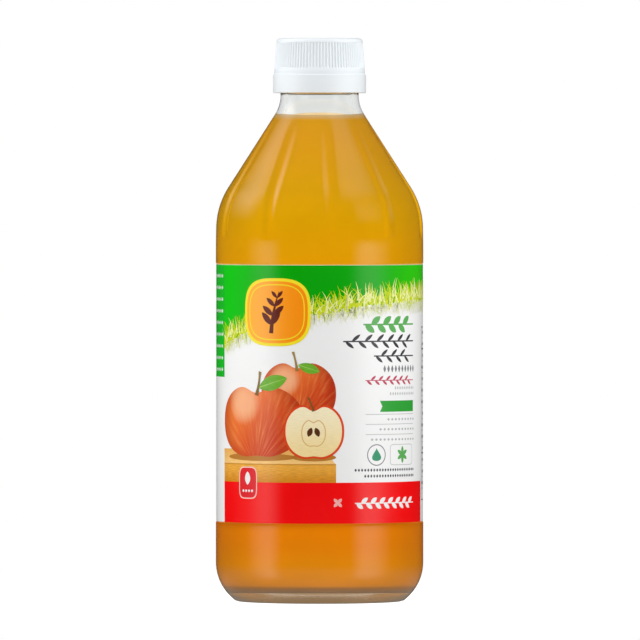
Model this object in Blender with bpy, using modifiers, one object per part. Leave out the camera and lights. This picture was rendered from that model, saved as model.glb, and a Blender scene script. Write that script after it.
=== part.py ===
"""A clear glass vinegar bottle, 16 fl oz, filled to the foot of its neck and shut with a ribbed screw cap.

The bottle stands on the origin, +Z is up and the middle of its label faces -Y. Every piece is
turned about Z from a profile of (radius, height) points. The flutes of the shoulder and the ribs
of the cap are then pressed into the turned meshes by rule.
"""

import math

import bpy

MM = 0.001

# The whole bottle
BODY_RADIUS = 34.72 * MM
WALL = 2.3 * MM
CLEARANCE = 0.3 * MM

# Heel and base, from the floor up
HEEL_RADIUS = 16.0 * MM
HEEL_TOP = 13.1 * MM
BEARING_OUTER = 27.3 * MM
BEARING_INNER = 25.2 * MM
HEEL_EDGE = 0.3 * MM
PUSH_UP = 2.6 * MM
FLOOR_EDGE_HEIGHT = 4.1 * MM
FLOOR_RISE = 2.2 * MM
FLOOR_CORNER = 1.0 * MM

# Label and the shallow panel that it lies in
LABEL_FOOT = 26.9 * MM
LABEL_TOP = 112.8 * MM
LABEL_THICKNESS = 0.45 * MM
PANEL_STEP = 0.25 * MM

# Shoulder: a round-over, a straight cone and a flare up into the neck
SHOULDER_START = 126.9 * MM
SHOULDER_RADIUS = 18.0 * MM
CONE_ANGLE = math.radians(32.6)
FLARE_RADIUS = 12.0 * MM
NECK_RADIUS = 13.15 * MM

# Ten narrow flutes run down the shoulder, each with a round end
FLUTES = 10
FLUTE_FROM_FRONT = math.radians(6.5)
FLUTE_HALF_WIDTH = 1.45 * MM
FLUTE_DEPTH = 0.45 * MM
FLUTE_END = 122.4 * MM
FLUTE_END_LENGTH = 3.0 * MM
FLUTE_FADE_START = 159.5 * MM
FLUTE_FADE_END = 165.0 * MM
STEPS_ACROSS_FLUTE = 4
STEPS_BETWEEN_FLUTES = 4

# Mouth, under the cap
FINISH_RADIUS = 12.6 * MM
FINISH_FOOT = 171.2 * MM
FINISH_STEP = 0.5 * MM
MOUTH_TOP = 186.7 * MM
LIP_BEVEL = 0.7 * MM

# Vinegar
FILL_HEIGHT = 162.85 * MM

# Screw cap
CAP_TOP = 188.4 * MM
CAP_FOOT = 177.35 * MM
CAP_TOP_RADIUS = 14.78 * MM
CAP_FOOT_RADIUS = 15.34 * MM
CAP_EDGE_RADIUS = 1.3 * MM
CAP_LID_THICKNESS = 1.4 * MM
CAP_BORE_RADIUS = 13.55 * MM
CAP_RIBS = 90
RIB_DEPTH = 0.35 * MM
RIB_TOP = CAP_TOP - CAP_EDGE_RADIUS
RIB_FOOT = 178.2 * MM
RIB_RUN_OUT = 0.35 * MM

# Tamper band, left loose below the cap
BAND_TOP = 177.0 * MM
BAND_STEP = 176.1 * MM
BAND_FOOT = 170.1 * MM
BAND_RADIUS = 15.57 * MM
BAND_BORE_RADIUS = 14.0 * MM
BAND_EDGE = 0.25 * MM

# Steps round each turned piece
GLASS_STEPS = FLUTES * (STEPS_ACROSS_FLUTE + STEPS_BETWEEN_FLUTES)
VINEGAR_STEPS = 48
LABEL_STEPS = 72
CAP_STEPS = 2 * CAP_RIBS
BAND_STEPS = 60
MERGE_DISTANCE = 1e-6

# Colours as linear red, green, blue, with roughness and metallic value
GLASS_LOOK = ((0.93, 0.95, 0.94), 0.04, 0.0)
VINEGAR_LOOK = ((0.72, 0.34, 0.02), 0.15, 0.0)
LABEL_LOOK = ((0.82, 0.83, 0.82), 0.35, 0.0)
CAP_LOOK = ((0.84, 0.87, 0.88), 0.35, 0.0)


def clear_scene():
    for obj in list(bpy.data.objects):
        bpy.data.objects.remove(obj, do_unlink=True)


def make_material(name, look):
    colour, roughness, metallic = look
    material = bpy.data.materials.new(name)
    material.use_nodes = True
    shader = material.node_tree.nodes["Principled BSDF"]
    shader.inputs["Base Color"].default_value = (*colour, 1.0)
    shader.inputs["Roughness"].default_value = roughness
    shader.inputs["Metallic"].default_value = metallic
    return material


def arc(centre, radius, start, end, steps):
    """Points on a circle in the profile's plane, from angle start to angle end, both included."""
    angles = [start + (end - start) * i / steps for i in range(steps + 1)]
    return [(centre[0] + radius * math.cos(a), centre[1] + radius * math.sin(a)) for a in angles]


def flare_top():
    """Height at which the neck begins to flare, so that the cone meets both of its arcs."""
    cone_foot_radius = BODY_RADIUS - SHOULDER_RADIUS * (1 - math.cos(CONE_ANGLE))
    cone_foot_height = SHOULDER_START + SHOULDER_RADIUS * math.sin(CONE_ANGLE)
    cone_top_radius = NECK_RADIUS + FLARE_RADIUS * (1 - math.cos(CONE_ANGLE))
    cone_height = (cone_foot_radius - cone_top_radius) / math.tan(CONE_ANGLE)
    return cone_foot_height + cone_height + FLARE_RADIUS * math.sin(CONE_ANGLE)


def flare(inset, steps):
    """The arc from the neck into the cone, on a surface that lies inset inside the outer one."""
    centre = (NECK_RADIUS + FLARE_RADIUS, flare_top())
    return arc(centre, FLARE_RADIUS + inset, math.pi, math.pi + CONE_ANGLE, steps)


def shoulder(inset, steps):
    """The arc from the cone into the straight body."""
    centre = (BODY_RADIUS - SHOULDER_RADIUS, SHOULDER_START)
    return arc(centre, SHOULDER_RADIUS - inset, CONE_ANGLE, 0.0, steps)


def heel(inset, height, steps):
    """The arc from the straight body in under the bottle, down to the given height."""
    centre = (BODY_RADIUS - HEEL_RADIUS, HEEL_TOP)
    end = -math.asin((HEEL_TOP - height) / (HEEL_RADIUS - inset))
    return arc(centre, HEEL_RADIUS - inset, 0.0, end, steps)


def dome(edge_radius, edge_height, rise, steps):
    """A low dome from its edge in to the axis."""
    radii = [edge_radius * (1 - i / steps) for i in range(steps + 1)]
    return [(r, edge_height + rise * (1 - (r / edge_radius) ** 2)) for r in radii]


def lip():
    """The bevelled rim of the mouth, from the bore to the outside."""
    bore_edge = NECK_RADIUS - WALL + LIP_BEVEL
    height = MOUTH_TOP - LIP_BEVEL
    inner = arc((bore_edge, height), LIP_BEVEL, math.pi, math.pi / 2, 1)
    outer = arc((FINISH_RADIUS - LIP_BEVEL, height), LIP_BEVEL, math.pi / 2, 0.0, 1)
    return inner + outer


def flute_end_rows():
    """Heights at which the round lower ends of the flutes need a ring of points."""
    return [FLUTE_END + FLUTE_END_LENGTH * share for share in (1.0, 0.5, 0.15, 0.0)]


def glass_outside():
    panel_radius = BODY_RADIUS - LABEL_THICKNESS - CLEARANCE
    panel_top = LABEL_TOP + CLEARANCE
    panel_foot = LABEL_FOOT - CLEARANCE
    points = [(FINISH_RADIUS, FINISH_FOOT), (NECK_RADIUS, FINISH_FOOT - FINISH_STEP)]
    points += flare(0.0, 4)
    points += shoulder(0.0, 5)
    points += [(BODY_RADIUS, z) for z in flute_end_rows()]
    points += [
        (BODY_RADIUS, panel_top + PANEL_STEP),
        (panel_radius, panel_top),
        (panel_radius, panel_foot),
        (BODY_RADIUS, panel_foot - PANEL_STEP),
    ]
    points += heel(0.0, HEEL_EDGE, 5)
    points += [(BEARING_OUTER, 0.0)]
    points += dome(BEARING_INNER, 0.0, PUSH_UP, 3)
    return points


def vessel_inside(inset):
    """From the neck down to the axis of the floor, on a surface that lies inset inside the outer one."""
    floor_height = FLOOR_EDGE_HEIGHT + inset - WALL
    points = flare(inset, 3) + shoulder(inset, 3)
    points += heel(inset, floor_height + FLOOR_CORNER, 3)
    points += dome(points[-1][0] - FLOOR_CORNER, floor_height, FLOOR_RISE, 3)
    return points


def radius_at(points, height):
    """Radius of a profile at a height, where the profile runs downwards."""
    for (r0, z0), (r1, z1) in zip(points, points[1:]):
        if z1 <= height <= z0 and z0 > z1:
            return r0 + (r1 - r0) * (z0 - height) / (z0 - z1)
    return points[-1][0]


def vinegar_profile():
    side = vessel_inside(WALL + CLEARANCE)
    surface_radius = radius_at(side, FILL_HEIGHT)
    below = [p for p in side if p[1] < FILL_HEIGHT]
    return [(0.0, FILL_HEIGHT), (surface_radius, FILL_HEIGHT)] + below


def glass_profile():
    return list(reversed(vessel_inside(WALL))) + lip() + glass_outside()


def label_profile():
    inner = BODY_RADIUS - LABEL_THICKNESS
    return [
        (BODY_RADIUS, LABEL_TOP),
        (BODY_RADIUS, LABEL_FOOT),
        (inner, LABEL_FOOT),
        (inner, LABEL_TOP),
    ]


def cap_side_radius(height):
    """The cap widens evenly from its top edge to its foot."""
    share = (CAP_TOP - height) / (CAP_TOP - CAP_FOOT)
    return CAP_TOP_RADIUS + (CAP_FOOT_RADIUS - CAP_TOP_RADIUS) * share


def cap_profile():
    edge_centre = (cap_side_radius(RIB_TOP) - CAP_EDGE_RADIUS, RIB_TOP)
    rows = [RIB_TOP - RIB_RUN_OUT, RIB_FOOT + RIB_RUN_OUT, RIB_FOOT, CAP_FOOT]
    points = [(0.0, CAP_TOP)]
    points += arc(edge_centre, CAP_EDGE_RADIUS, math.pi / 2, 0.0, 2)
    points += [(cap_side_radius(z), z) for z in rows]
    points += [
        (CAP_BORE_RADIUS, CAP_FOOT),
        (CAP_BORE_RADIUS, CAP_TOP - CAP_LID_THICKNESS),
        (0.0, CAP_TOP - CAP_LID_THICKNESS),
    ]
    return points


def band_profile():
    return [
        (CAP_FOOT_RADIUS, BAND_TOP),
        (CAP_FOOT_RADIUS, BAND_STEP + BAND_EDGE),
        (BAND_RADIUS, BAND_STEP),
        (BAND_RADIUS, BAND_FOOT + BAND_EDGE),
        (BAND_RADIUS - BAND_EDGE, BAND_FOOT),
        (BAND_BORE_RADIUS, BAND_FOOT),
        (BAND_BORE_RADIUS, BAND_TOP),
    ]


def turn(name, profile, steps, material, collection, closed=False):
    """Turns a profile about Z. A closed profile makes a ring, and an open one ends on the axis."""
    count = len(profile)
    edges = [(i, i + 1) for i in range(count - 1)]
    if closed:
        edges.append((count - 1, 0))
    mesh = bpy.data.meshes.new(name)
    mesh.from_pydata([(r, 0.0, z) for r, z in profile], edges, [])
    obj = bpy.data.objects.new(name, mesh)
    collection.objects.link(obj)
    screw = obj.modifiers.new("turn", "SCREW")
    screw.axis = "Z"
    screw.angle = 2 * math.pi
    screw.steps = steps
    screw.render_steps = steps
    screw.use_merge_vertices = True
    screw.merge_threshold = MERGE_DISTANCE
    screw.use_smooth_shade = True
    obj.data.materials.append(material)
    return obj


def settle(obj):
    """Puts the turned mesh in place of the profile, so that its points can be moved."""
    evaluated = obj.evaluated_get(bpy.context.evaluated_depsgraph_get())
    turned = bpy.data.meshes.new_from_object(evaluated)
    turned.name = obj.name
    profile = obj.data
    obj.modifiers.clear()
    obj.data = turned
    bpy.data.meshes.remove(profile)


def smooth(value):
    """An even step from 0 to 1."""
    value = min(max(value, 0.0), 1.0)
    return value * value * (3 - 2 * value)


def flute_strength(height):
    """How deep the flutes are at a height, from 0 to 1: a round end below and a slow fade above."""
    along_end = min(max((height - FLUTE_END) / FLUTE_END_LENGTH, 0.0), 1.0)
    below = math.sqrt(1 - (1 - along_end) ** 2)
    above = 1 - smooth((height - FLUTE_FADE_START) / (FLUTE_FADE_END - FLUTE_FADE_START))
    return below * above


def flute_turn(step, radius):
    """The angle of a step within its panel, and how far across the flute it lies, from 0 to 1."""
    half_steps = STEPS_ACROSS_FLUTE // 2
    half_angle = FLUTE_HALF_WIDTH / max(radius, NECK_RADIUS)
    if step <= half_steps:
        return half_angle * step / half_steps, step / half_steps
    panel = 2 * math.pi / FLUTES
    share = (step - half_steps) / STEPS_BETWEEN_FLUTES
    if share <= 1:
        return half_angle + (panel - 2 * half_angle) * share, 1.0
    left = STEPS_ACROSS_FLUTE + STEPS_BETWEEN_FLUTES - step
    return panel - half_angle * left / half_steps, left / half_steps


def press_flutes(obj):
    """Gathers the steps of each panel round its flute and presses the flute into the outside."""
    per_panel = STEPS_ACROSS_FLUTE + STEPS_BETWEEN_FLUTES
    first_flute = FLUTE_FROM_FRONT - math.pi / 2
    inside = vessel_inside(WALL)
    for vertex in obj.data.vertices:
        x, y, z = vertex.co
        radius = math.hypot(x, y)
        if radius < MERGE_DISTANCE:
            continue
        count = round(math.atan2(y, x) / (2 * math.pi) * GLASS_STEPS) % GLASS_STEPS
        panel, step = divmod(count, per_panel)
        angle, across = flute_turn(step, radius)
        angle += panel * 2 * math.pi / FLUTES + first_flute
        if z > FLUTE_END and radius > radius_at(inside, z) + WALL / 2:
            dip = FLUTE_DEPTH * flute_strength(z) * (1 + math.cos(math.pi * across)) / 2
            radius -= dip / math.cos(CONE_ANGLE)
        vertex.co = (radius * math.cos(angle), radius * math.sin(angle), z)


def press_ribs(obj):
    """Draws every other line of points in between the ribs of the cap."""
    for vertex in obj.data.vertices:
        x, y, z = vertex.co
        radius = math.hypot(x, y)
        in_grip = RIB_FOOT + MERGE_DISTANCE < z < RIB_TOP - MERGE_DISTANCE
        count = round(math.atan2(y, x) / (2 * math.pi) * CAP_STEPS)
        if in_grip and radius > (CAP_BORE_RADIUS + CAP_TOP_RADIUS) / 2 and count % 2:
            scale = (radius - RIB_DEPTH) / radius
            vertex.co = (x * scale, y * scale, z)


def build_glass(collection):
    glass = make_material("clear_glass", GLASS_LOOK)
    obj = turn("glass_bottle", glass_profile(), GLASS_STEPS, glass, collection)
    settle(obj)
    press_flutes(obj)


def build_vinegar(collection):
    amber = make_material("amber_vinegar", VINEGAR_LOOK)
    turn("vinegar", vinegar_profile(), VINEGAR_STEPS, amber, collection)


def build_label(collection):
    paper = make_material("label_paper", LABEL_LOOK)
    turn("label", label_profile(), LABEL_STEPS, paper, collection, closed=True)


def build_closure(collection):
    plastic = make_material("white_plastic", CAP_LOOK)
    cap = turn("cap", cap_profile(), CAP_STEPS, plastic, collection)
    settle(cap)
    press_ribs(cap)
    turn("tamper_band", band_profile(), BAND_STEPS, plastic, collection, closed=True)


def main():
    clear_scene()
    collection = bpy.data.collections.new("vinegar_bottle")
    bpy.context.scene.collection.children.link(collection)
    build_glass(collection)
    build_vinegar(collection)
    build_label(collection)
    build_closure(collection)


main()
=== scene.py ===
"""The looks of a clear glass vinegar bottle with a wrapped film label and a white screw cap.

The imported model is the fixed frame. The glass, the vinegar, the label and both parts of the closure
are modelled again, finer than the frame's solids and in the same places. The print on the label is
cut flat, laid up in thin layers and then bent round the bottle. Sizes are in metres, +Z is up and
the middle of the label faces -Y. Profiles are lists of (radius, height) points, and flat print is
placed by how far it lies along the label from its middle and by its height above the floor.
"""

import math
import random

import bpy
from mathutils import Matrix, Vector


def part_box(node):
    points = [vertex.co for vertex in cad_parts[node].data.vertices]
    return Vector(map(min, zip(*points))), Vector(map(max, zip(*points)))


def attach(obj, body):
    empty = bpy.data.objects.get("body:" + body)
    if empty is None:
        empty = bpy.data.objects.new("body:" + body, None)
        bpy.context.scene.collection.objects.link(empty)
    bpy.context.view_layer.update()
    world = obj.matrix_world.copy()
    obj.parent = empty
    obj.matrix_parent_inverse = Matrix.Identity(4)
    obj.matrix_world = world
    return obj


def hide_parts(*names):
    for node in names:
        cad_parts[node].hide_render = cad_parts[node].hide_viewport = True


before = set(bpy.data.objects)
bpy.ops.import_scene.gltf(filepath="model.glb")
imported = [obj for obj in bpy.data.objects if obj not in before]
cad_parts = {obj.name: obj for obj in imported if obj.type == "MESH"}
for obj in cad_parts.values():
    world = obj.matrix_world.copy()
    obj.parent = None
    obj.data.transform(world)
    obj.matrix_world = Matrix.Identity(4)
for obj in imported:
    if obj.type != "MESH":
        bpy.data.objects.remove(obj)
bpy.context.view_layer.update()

MM = 0.001
MERGE = 0.004 * MM

label_low, label_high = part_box("label")
cap_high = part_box("cap")[1]
band_low, band_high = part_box("tamper_band")

# The glass: the sizes of the frame's solids, with a softer shoulder and a rounder floor
BODY_RADIUS = label_high.x
WALL = 2.3 * MM
HEEL_RADIUS = 16.0 * MM
HEEL_TOP = 13.1 * MM
HEEL_EDGE = 0.3 * MM
BEARING_OUTER = 27.3 * MM
BEARING_INNER = 25.2 * MM
PUSH_UP = 2.6 * MM
FLOOR_EDGE_HEIGHT = 4.3 * MM
FLOOR_RISE = 2.2 * MM
FLOOR_CORNER = 1.6 * MM
SHOULDER_START = 124.6 * MM
SHOULDER_RADIUS = 26.0 * MM
CONE_ANGLE = math.radians(32.6)
FLARE_RADIUS = 12.0 * MM
NECK_RADIUS = 13.15 * MM
FINISH_RADIUS = 12.6 * MM
FINISH_FOOT = 171.2 * MM
FINISH_STEP = 0.5 * MM
MOUTH_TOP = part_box("glass_bottle")[1].z
LIP_BEVEL = 0.7 * MM
GLASS_STEPS = 540

# The body draws in a little under the shoulder. Flutes of the shoulder and knurls under the base
DRAW_IN_START = 117.5 * MM
DRAW_IN = 0.1 * MM
FLUTES = 10
FLUTE_FROM_FRONT = math.radians(6.5)
FLUTE_HALF_WIDTH = 2.9 * MM
FLUTE_DEPTH = 0.55 * MM
FLUTE_TOP_SHARE = 0.45
FLUTE_END = 121.6 * MM
FLUTE_END_LENGTH = 5.0 * MM
FLUTE_DEEPEST = 131.0 * MM
FLUTE_FADE_START = 154.0 * MM
FLUTE_FADE_END = 163.0 * MM
KNURLS = 90
KNURL_DEPTH = 0.3 * MM

# Vinegar, which reaches just into the wall so that no gap shows
REACH_INTO_WALL = 0.05 * MM
FILL_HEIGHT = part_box("vinegar")[1].z - 0.9 * MM
MENISCUS_HEIGHT = 0.4 * MM
MENISCUS_WIDTH = 2.2 * MM
VINEGAR_STEPS = 240

# Label film in its shallow panel, and the layers of print on it
PANEL_RADIUS = BODY_RADIUS - 0.24 * MM
PANEL_EDGE = 0.2 * MM
PRINT_RADIUS = BODY_RADIUS - 0.12 * MM
FILM_THICKNESS = 0.08 * MM
LAYER = 0.013 * MM
INK_THICKNESS = 0.01 * MM
SCORE_GAP = 1.0 * MM
BACK = math.pi * PRINT_RADIUS
LAP_START = BACK - 5 * MM
LABEL_FOOT = label_low.z
LABEL_TOP = label_high.z

# Places on the flat print. Its coordinates for patterns are in print units
PRINT_UNIT = 10 * MM
PANEL_LEFT, PANEL_RIGHT = -40.1 * MM, 46.3 * MM
SIDE_PANEL = 88.0 * MM
LEFT_PANEL_FOOT = 75.3 * MM
FIELD_TOP = LABEL_TOP - 0.1 * MM
RED_TOP = 40.5 * MM
ROWS_RIGHT = 38.7 * MM
DOT_SQUARENESS = 1.2
INK_FINISH = {"Roughness": 0.2, "Specular IOR Level": 0.62}
INK_GRAIN = 0.5 * MM
INK_TONE = 0.06
STREAK_FINENESS = (4, 60, 1)

# Screw cap and tamper band
CAP_TOP_RADIUS = 14.4 * MM
CAP_FOOT_RADIUS = 15.2 * MM
CAP_EDGE_RADIUS = 1.3 * MM
CAP_LID_THICKNESS = 1.4 * MM
CAP_BORE_RADIUS = 13.55 * MM
CAP_TOP = cap_high.z
CAP_FOOT = band_high.z + 0.02 * MM
CAP_RIBS = 90
RIB_DEPTH = 0.35 * MM
RIB_TOP = CAP_TOP - CAP_EDGE_RADIUS
RIB_FOOT = 178.2 * MM
RIB_RUN_OUT = 0.6 * MM
CAP_STEPS = 8 * CAP_RIBS
BAND_TOP = band_high.z
BAND_FOOT = band_low.z
BAND_RADIUS = band_high.x
BAND_STEP = 176.1 * MM
BAND_BORE_RADIUS = 14.0 * MM
BAND_EDGE = 0.25 * MM
BAND_STEPS = 240

# Camera, as far away as the photograph was taken from, at the height of the shoulder
CAMERA_PLACE = Vector((0.00014, -4.0, 0.1476))
CAMERA_AIM = Vector((0.00014, 0.0, 0.0941))
CAMERA_LENS = 672.0
CAMERA_SENSOR = 36.0

# Soft lights: name, azimuth and elevation in degrees, distance, size and radiance
SOFT_LIGHTS = [
    ("left_light", -84, 12, 1.2, (1.0, 1.4), 2.5),
    ("right_light", 78, 12, 1.2, (1.0, 1.4), 2.25),
    ("front_light", 0, 25, 1.6, (1.2, 1.0), 2.75),
    ("top_light", 180, 70, 1.4, (1.2, 1.2), 0.9),
]

# Soft boxes that only mirrors and glass see, in degrees: how each one gets bright and dark again
# from side to side and from the foot up, and its radiance
MIRRORED_BOXES = [
    (((-92, -58), (-60, -41)), (-40, -20, -0.6, 1.6), 1.2),
    (((33, 52), (56, 90)), (-40, -20, -0.6, 1.6), 1.3),
    (((39, 50), (56, 90)), (4, 20, 24, 50), 0.5),
    (((-142, -98), (-98, -74)), (6, 32, 38, 60), 1.7),
    (((20, 54), (76, 112)), (34, 54, 60, 76), 0.8),
]
DARK_ROOM = 0.02
NEAR_GROUND, DEEP_GROUND = 0.28, 0.26
BACKDROP = 0.85
ROOM_LIGHT = 0.31
FLOOR_RADIUS = 0.3


def mm(*lengths):
    """Lengths in millimetres, as metres."""
    return tuple(length * MM for length in lengths)


def deselect():
    bpy.ops.object.select_all(action="DESELECT")


def pick(obj):
    """Makes one object the only selected one."""
    deselect()
    obj.select_set(True)
    bpy.context.view_layer.objects.active = obj


def take(name):
    """The object that was just added, under its own name."""
    obj = bpy.context.object
    obj.name = name
    obj.data.name = name
    return obj


# Profiles

def arc(centre, radius, start, end, steps):
    """Points on a circle in the profile's plane, from angle start to angle end, both included."""
    angles = [start + (end - start) * i / steps for i in range(steps + 1)]
    return [(centre[0] + radius * math.cos(a), centre[1] + radius * math.sin(a)) for a in angles]


def between(start, end, steps):
    """Points that part the line from start to end evenly, without its ends."""
    shares = [i / steps for i in range(1, steps)]
    return [(start[0] + (end[0] - start[0]) * s, start[1] + (end[1] - start[1]) * s) for s in shares]


def flare_top():
    """Height at which the neck begins to flare, so that the cone meets both of its arcs."""
    cone_foot_radius = BODY_RADIUS - SHOULDER_RADIUS * (1 - math.cos(CONE_ANGLE))
    cone_foot_height = SHOULDER_START + SHOULDER_RADIUS * math.sin(CONE_ANGLE)
    cone_top_radius = NECK_RADIUS + FLARE_RADIUS * (1 - math.cos(CONE_ANGLE))
    cone_height = (cone_foot_radius - cone_top_radius) / math.tan(CONE_ANGLE)
    return cone_foot_height + cone_height + FLARE_RADIUS * math.sin(CONE_ANGLE)


def upper_wall(inset, flare_steps, cone_steps, shoulder_steps):
    """Flare, cone and shoulder, on a surface that lies inset inside the outer one."""
    flare_centre = (NECK_RADIUS + FLARE_RADIUS, flare_top())
    shoulder_centre = (BODY_RADIUS - SHOULDER_RADIUS, SHOULDER_START)
    flare = arc(flare_centre, FLARE_RADIUS + inset, math.pi, math.pi + CONE_ANGLE, flare_steps)
    shoulder = arc(shoulder_centre, SHOULDER_RADIUS - inset, CONE_ANGLE, 0.0, shoulder_steps)
    return flare + between(flare[-1], shoulder[0], cone_steps) + shoulder


def heel(inset, height, steps):
    """The arc from the straight body in under the bottle, down to the given height."""
    centre = (BODY_RADIUS - HEEL_RADIUS, HEEL_TOP)
    end = -math.asin((HEEL_TOP - height) / (HEEL_RADIUS - inset))
    return arc(centre, HEEL_RADIUS - inset, 0.0, end, steps)


def dome(edge_radius, edge_height, rise, steps):
    """A low dome from its edge in to the axis."""
    radii = [edge_radius * (1 - i / steps) for i in range(steps + 1)]
    return [(r, edge_height + rise * (1 - (r / edge_radius) ** 2)) for r in radii]


def vessel_inside(inset):
    """From the neck down to the axis of the floor, on a surface that lies inset inside the outer one."""
    floor_height = FLOOR_EDGE_HEIGHT + inset - WALL
    points = upper_wall(inset, 12, 6, 12)
    points += heel(inset, floor_height + FLOOR_CORNER, 14)
    corner = (points[-1][0] - FLOOR_CORNER, floor_height)
    return points + dome(corner[0], corner[1], FLOOR_RISE, 8)


def radius_at(points, height):
    """Radius of a profile at a height, where the profile runs downwards."""
    for (r0, z0), (r1, z1) in zip(points, points[1:]):
        if z1 <= height <= z0 and z0 > z1:
            return r0 + (r1 - r0) * (z0 - height) / (z0 - z1)
    return points[-1][0]


def lip():
    """The rounded rim of the mouth, from the bore to the outside."""
    height = MOUTH_TOP - LIP_BEVEL
    inner = arc((NECK_RADIUS - WALL + LIP_BEVEL, height), LIP_BEVEL, math.pi, math.pi / 2, 4)
    outer = arc((FINISH_RADIUS - LIP_BEVEL, height), LIP_BEVEL, math.pi / 2, 0.0, 4)
    return inner + outer


def glass_outside():
    panel_top = LABEL_TOP + PANEL_EDGE
    panel_foot = LABEL_FOOT - PANEL_EDGE
    points = [(FINISH_RADIUS, FINISH_FOOT), (NECK_RADIUS, FINISH_FOOT - FINISH_STEP)]
    points += upper_wall(DRAW_IN, 14, 16, 24)
    below = [(SHOULDER_START - DRAW_IN_START) * i / 20 for i in range(1, 21)]
    points += [(BODY_RADIUS - DRAW_IN * (1 - b / below[-1]) ** 2, SHOULDER_START - b) for b in below]
    points += [(BODY_RADIUS, panel_top + PANEL_EDGE * k) for k in (5, 3.5, 2)]
    points += [(BODY_RADIUS - PANEL_EDGE / 8, panel_top + PANEL_EDGE)]
    points += [(PANEL_RADIUS, panel_top), (PANEL_RADIUS, panel_foot)]
    points += [(BODY_RADIUS - PANEL_EDGE / 8, panel_foot - PANEL_EDGE)]
    points += [(BODY_RADIUS, panel_foot - PANEL_EDGE * k) for k in (2, 3.5, 5)]
    points += heel(0.0, HEEL_EDGE, 24)
    points += [(BEARING_OUTER, 0.0)]
    points += between((BEARING_OUTER, 0.0), (BEARING_INNER, 0.0), 5)
    points += dome(BEARING_INNER, 0.0, PUSH_UP, 10)
    return points


def glass_profile():
    return list(reversed(vessel_inside(WALL))) + lip() + glass_outside()


def vinegar_profile():
    """A flat surface that climbs the wall at its edge, and the wall and floor below it."""
    side = vessel_inside(WALL - REACH_INTO_WALL)
    edge_height = FILL_HEIGHT + MENISCUS_HEIGHT
    edge_radius = radius_at(side, edge_height)
    points = [(0.0, FILL_HEIGHT)]
    for share in [i / 8 for i in range(9)]:
        radius = edge_radius - MENISCUS_WIDTH * (1 - share)
        points.append((radius, FILL_HEIGHT + MENISCUS_HEIGHT * share ** 3))
    return points + [p for p in side if p[1] < edge_height - MERGE]


def cap_side_radius(height):
    """The cap widens evenly from its top edge to its foot."""
    share = (CAP_TOP - height) / (CAP_TOP - CAP_FOOT)
    return CAP_TOP_RADIUS + (CAP_FOOT_RADIUS - CAP_TOP_RADIUS) * share


def cap_profile():
    """The lid with a shallow dish and a gate mark, the rounded edge, the grip, the skirt and the bore."""
    gate, dish_edge, dish = 1.1 * MM, 11.6 * MM, 0.2 * MM
    foot_edge = 0.05 * MM
    edge_centre = (cap_side_radius(RIB_TOP) - CAP_EDGE_RADIUS, RIB_TOP)
    run_out = [RIB_RUN_OUT * i / 4 for i in range(1, 5)]
    grip = [RIB_TOP - step for step in run_out] + [(RIB_TOP + RIB_FOOT) / 2]
    grip += [RIB_FOOT + step for step in reversed(run_out)] + [RIB_FOOT]
    points = [(0.0, CAP_TOP - 2 * dish), (gate, CAP_TOP - 2 * dish), (gate * 1.2, CAP_TOP - dish)]
    points += [(dish_edge, CAP_TOP - dish), (dish_edge + 1.5 * dish, CAP_TOP)]
    points += arc(edge_centre, CAP_EDGE_RADIUS, math.pi / 2, 0.0, 8)
    points += [(cap_side_radius(z), z) for z in grip]
    points += [(cap_side_radius(CAP_FOOT), CAP_FOOT + foot_edge), (CAP_FOOT_RADIUS - foot_edge, CAP_FOOT)]
    points += [(CAP_BORE_RADIUS, CAP_FOOT), (CAP_BORE_RADIUS, CAP_TOP - CAP_LID_THICKNESS)]
    return points + [(0.0, CAP_TOP - CAP_LID_THICKNESS)]


def band_profile():
    points = [(BAND_BORE_RADIUS, BAND_TOP), (CAP_FOOT_RADIUS - BAND_EDGE / 4, BAND_TOP)]
    points += [(CAP_FOOT_RADIUS, BAND_TOP - BAND_EDGE / 4), (CAP_FOOT_RADIUS, BAND_STEP + BAND_EDGE)]
    points += [(BAND_RADIUS, BAND_STEP)]
    points += arc((BAND_RADIUS - BAND_EDGE, BAND_FOOT + BAND_EDGE), BAND_EDGE, 0.0, -math.pi / 2, 4)
    points += [(BAND_BORE_RADIUS, BAND_FOOT), (BAND_BORE_RADIUS, BAND_TOP)]
    return points


# Turned pieces

def turned(name, profile, steps, start=0.0):
    """Draws a profile by extruding one point along it, and spins it about Z, from the angle start."""
    points = [Vector((r * math.cos(start), r * math.sin(start), z)) for r, z in profile]
    deselect()
    bpy.ops.mesh.primitive_plane_add(size=MM, calc_uvs=False)
    obj = take(name)
    bpy.ops.object.mode_set(mode="EDIT")
    bpy.ops.mesh.merge(type="CENTER")
    bpy.ops.transform.translate(value=points[0])
    for here, there in zip(points, points[1:]):
        bpy.ops.mesh.extrude_region_move(TRANSFORM_OT_translate={"value": there - here})
    bpy.ops.mesh.select_all(action="SELECT")
    bpy.ops.mesh.spin(steps=steps, angle=2 * math.pi, center=(0, 0, 0), axis=(0, 0, 1))
    bpy.ops.mesh.select_all(action="SELECT")
    bpy.ops.mesh.remove_doubles(threshold=MERGE)
    bpy.ops.mesh.normals_make_consistent(inside=False)
    bpy.ops.object.mode_set(mode="OBJECT")
    return obj


def press(obj, name, depth, rule):
    """Sinks the surface by up to depth, by the share from 0 to 1 that the rule gives for each point."""
    group = obj.vertex_groups.new(name=name)
    for vertex in obj.data.vertices:
        share = rule(vertex.co)
        if share > 0:
            group.add([vertex.index], share, "REPLACE")
    pick(obj)
    bpy.ops.object.modifier_add(type="DISPLACE")
    modifier = obj.modifiers[-1]
    modifier.vertex_group = name
    modifier.mid_level = 0.0
    modifier.strength = -depth
    bpy.ops.object.modifier_apply(modifier=modifier.name)
    obj.vertex_groups.remove(obj.vertex_groups[name])


def smooth(value):
    """An even step from 0 to 1."""
    value = min(max(value, 0.0), 1.0)
    return value * value * (3 - 2 * value)


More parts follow.
